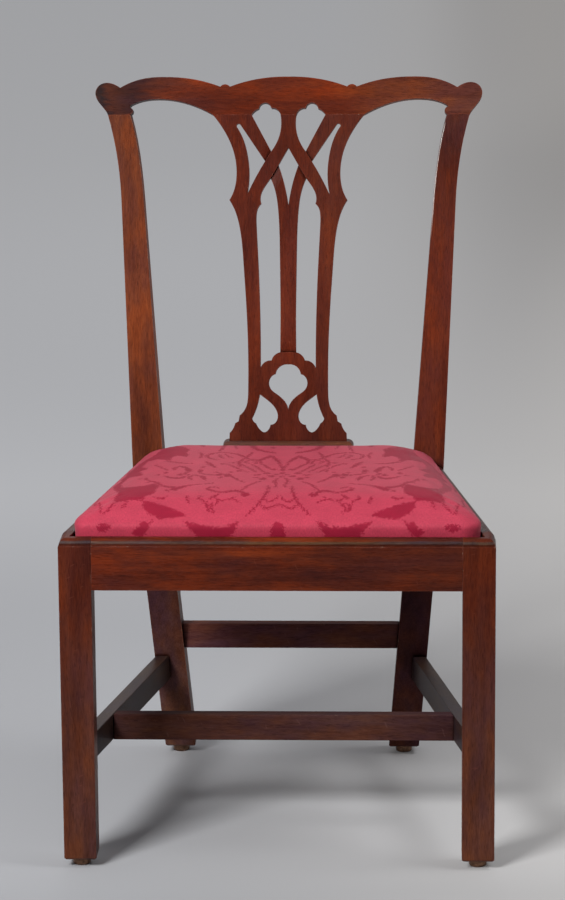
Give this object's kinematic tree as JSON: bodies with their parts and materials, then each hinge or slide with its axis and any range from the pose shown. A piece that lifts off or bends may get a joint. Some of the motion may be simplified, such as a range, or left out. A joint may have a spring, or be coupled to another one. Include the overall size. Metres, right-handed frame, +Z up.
{
  "type": "side chair",
  "caption": "wooden side chair with square legs, an H stretcher, a pierced interlaced splat, a serpentine crest rail with ears and a padded damask seat that lifts out",
  "frame": {"origin": "on the floor under the middle of the overall box, at rest", "axes": "+X to the right seen from the front, +Y to the back of the chair, +Z up"},
  "size_m": [0.55, 0.5454, 0.95],
  "materials": {
    "mahogany": "waxed, worn edges",
    "secondary_wood": "raw, darkened",
    "damask": "figured satin weave",
    "jute_webbing": "coarse twill weave",
    "linen": "coarse plain weave",
    "stuffing": "curled hair",
    "iron": "dark, dull",
    "glide_metal": "tarnished"
  },
  "bodies": {
    "chair_frame": {"front_leg_left": "mahogany", "front_leg_right": "mahogany", "back_post_left": "mahogany", "back_post_right": "mahogany", "front_seat_rail": "mahogany", "side_seat_rail_left": "mahogany", "side_seat_rail_right": "mahogany", "rear_seat_rail": "mahogany", "side_stretcher_left": "mahogany", "side_stretcher_right": "mahogany", "cross_stretcher": "mahogany", "rear_stretcher": "mahogany", "splat_shoe": "mahogany", "splat": "mahogany", "crest_rail": "mahogany", "front_corner_block_left": "secondary_wood", "front_corner_block_right": "secondary_wood", "rear_corner_block_left": "secondary_wood", "rear_corner_block_right": "secondary_wood", "corner_block_screws": "iron", "front_glide_left": "glide_metal", "front_glide_right": "glide_metal", "rear_glide_left": "glide_metal", "rear_glide_right": "glide_metal"},
    "slip_seat": {"slip_frame_front": "secondary_wood", "slip_frame_rear": "secondary_wood", "slip_frame_side_left": "secondary_wood", "slip_frame_side_right": "secondary_wood", "webbing_lengthwise": "jute_webbing", "webbing_crosswise": "jute_webbing", "webbing_tacks": "iron", "sackcloth": "linen", "stuffing": "stuffing", "seat_cover": "damask", "cover_tacks": "iron"}
  },
  "joints": [
    {"name": "seat_lift", "type": "slide", "parent": "chair_frame", "child": "slip_seat", "axis": [0, 0, 1], "range_m": [0, 0.12]}
  ]
}
